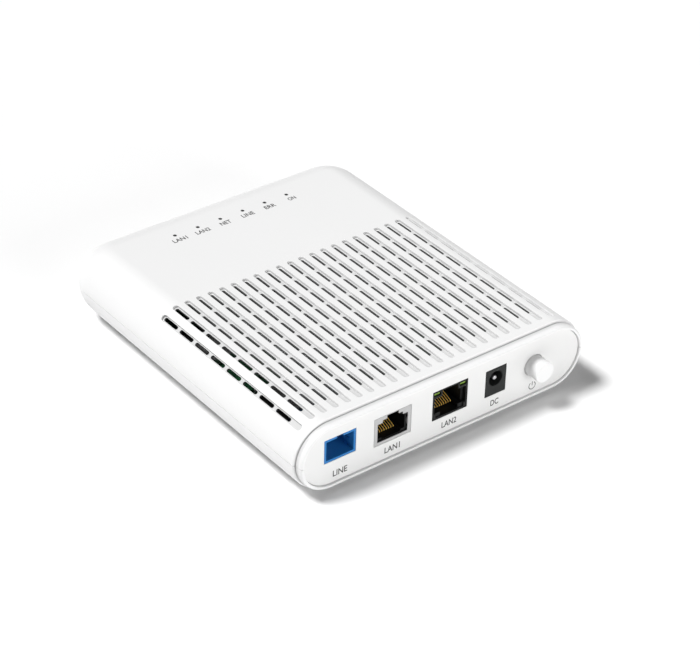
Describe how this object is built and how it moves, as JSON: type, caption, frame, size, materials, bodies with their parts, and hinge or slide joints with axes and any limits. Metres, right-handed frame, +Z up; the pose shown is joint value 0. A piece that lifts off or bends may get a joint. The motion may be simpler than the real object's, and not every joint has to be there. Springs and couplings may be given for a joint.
{
  "type": "optical network terminal",
  "caption": "Slim white optical network terminal with a vented round-edged housing, a row of status lights and a recessed port panel with a push button.",
  "frame": {"origin": "middle of the bounding box in plan, at the underside of the rubber feet", "axes": "+X to the right as seen from the port end, -Y out of the port end, +Z up"},
  "size_m": [0.1314, 0.1594, 0.0294],
  "materials": {
    "housing": "fine satin white moulding",
    "panel": "satin off-white moulding",
    "button_plastic": "satin light grey moulding with a white face",
    "pin_plastic": "natural nylon",
    "grey_plastic": "mid grey moulding",
    "black_plastic": "black moulding with a faint sheen",
    "charcoal_plastic": "charcoal moulding with a faint sheen",
    "blue_plastic": "blue satin moulding",
    "light_pipe": "clear acrylic, frosted at its ends",
    "light_window": "translucent yellow-green window",
    "rubber": "soft matt rubber",
    "nickel": "nickel-plated sheet with fine drawing lines",
    "steel": "zinc-plated steel",
    "gold": "gold-plated contact springs",
    "aluminium": "plain extruded aluminium",
    "board": "green solder mask over glass fibre laminate",
    "chip": "black moulding compound",
    "ceramic": "white ceramic",
    "thermal_pad": "soft blue-grey gap pad",
    "label": "blank printed film"
  },
  "bodies": {
    "housing": {"top_cover": "housing", "bottom_cover": "housing", "port_panel": "panel", "rubber_foot_1": "rubber", "rubber_foot_2": "rubber", "rubber_foot_3": "rubber", "rubber_foot_4": "rubber", "cover_screw_1": "steel", "cover_screw_2": "steel", "cover_screw_3": "steel", "cover_screw_4": "steel", "board_screw_1": "steel", "board_screw_2": "steel", "board_screw_3": "steel", "board_screw_4": "steel", "rating_label": "label", "main_board": "board", "status_led_1": "ceramic", "status_led_2": "ceramic", "status_led_3": "ceramic", "status_led_4": "ceramic", "status_led_5": "ceramic", "status_led_6": "ceramic", "light_guide": "light_pipe", "main_processor": "chip", "thermal_pad": "thermal_pad", "heat_sink": "aluminium", "heat_sink_pin_1": "pin_plastic", "heat_sink_pin_2": "pin_plastic", "memory_chip": "chip", "flash_chip": "chip", "ethernet_chip": "chip", "magnetics_fast": "chip", "magnetics_lan": "chip", "crystal": "steel", "laser_shield_can": "nickel", "capacitor_1": "aluminium", "capacitor_2": "aluminium", "inductor_1": "chip", "inductor_2": "chip", "fibre_receptacle": "blue_plastic", "ferrule_sleeve": "ceramic", "optical_module": "nickel", "fast_jack_shield": "nickel", "fast_jack_insert": "black_plastic", "fast_jack_contacts": "gold", "lan_jack_body": "black_plastic", "lan_jack_contacts": "gold", "lan_jack_light_left": "light_window", "lan_jack_light_right": "light_window", "power_jack_body": "charcoal_plastic", "power_jack_pin": "steel", "power_jack_leaf": "gold", "switch_body": "charcoal_plastic", "return_spring": "steel"},
    "button": {"power_button": "button_plastic", "switch_plunger": "grey_plastic"}
  },
  "joints": [
    {"name": "power_button_push", "type": "slide", "parent": "housing", "child": "button", "axis": [0, 1, 0], "range_m": [0, 0.003], "stiffness_N_per_m": 250, "deforming": ["return_spring"]}
  ]
}
